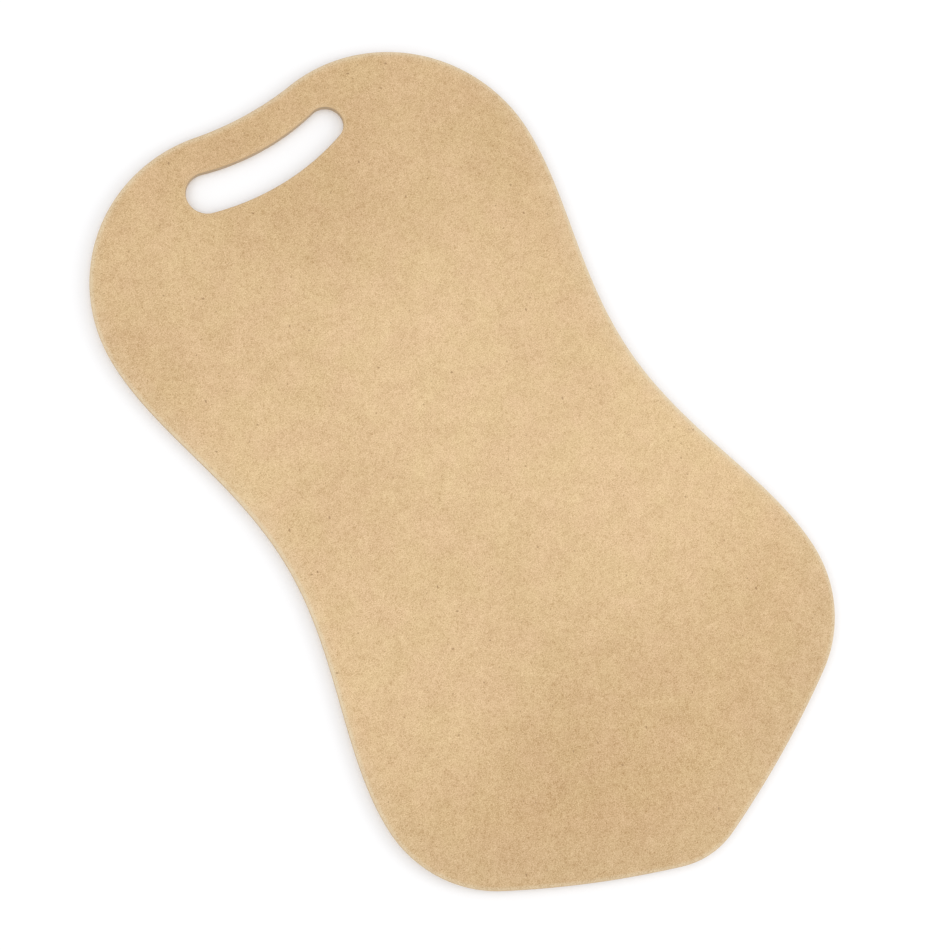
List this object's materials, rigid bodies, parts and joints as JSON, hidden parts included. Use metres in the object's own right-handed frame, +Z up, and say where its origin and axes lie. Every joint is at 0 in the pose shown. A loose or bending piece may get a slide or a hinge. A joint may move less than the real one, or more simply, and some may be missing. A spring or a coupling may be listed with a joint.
{
  "type": "transfer board",
  "caption": "Flat hourglass transfer board of plain fibreboard, with a shallow dip and a curved hand slot at the grip end and a blunt pointed tail.",
  "frame": {"origin": "middle of the underside, at the centre of the board's outline box", "axes": "+Z up through the thickness, +Y along the board towards the hand slot at the grip end, +X across the board to the right when the slot is at the far end"},
  "size_m": [0.3574, 0.61, 0.006],
  "materials": {
    "fibreboard": "raw pressed fibreboard, unsealed and matte"
  },
  "bodies": {
    "root": {"board": "fibreboard"}
  },
  "joints": []
}
